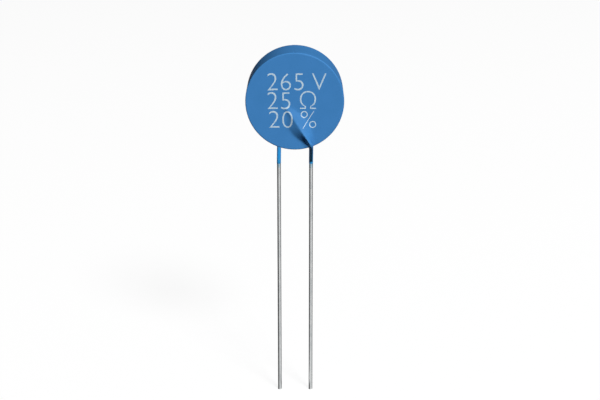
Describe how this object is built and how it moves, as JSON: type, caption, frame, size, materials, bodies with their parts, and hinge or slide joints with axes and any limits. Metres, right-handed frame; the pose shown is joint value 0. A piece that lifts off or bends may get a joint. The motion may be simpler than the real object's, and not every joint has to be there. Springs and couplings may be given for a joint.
{
  "type": "ptc thermistor",
  "caption": "Round lacquer-coated disc thermistor on a pair of straight radial wire leads that bend out to opposite faces under the coating.",
  "frame": {"origin": "midway between the leads on the seating plane, where the coating on the leads ends and the board's upper face lies", "axes": "+X along the pair of leads, -Y the front face, +Z from the board up to the disc"},
  "size_m": [0.015, 0.0088, 0.0563],
  "materials": {
    "lacquer": "satin",
    "tinned_wire": "satin",
    "solder": "satin",
    "silver": "matte",
    "ceramic": "matte"
  },
  "bodies": {
    "root": {"ceramic_disc": "ceramic", "front_electrode": "silver", "rear_electrode": "silver", "front_solder_joint": "solder", "rear_solder_joint": "solder", "front_lead": "tinned_wire", "rear_lead": "tinned_wire", "coating": "lacquer"}
  },
  "joints": []
}
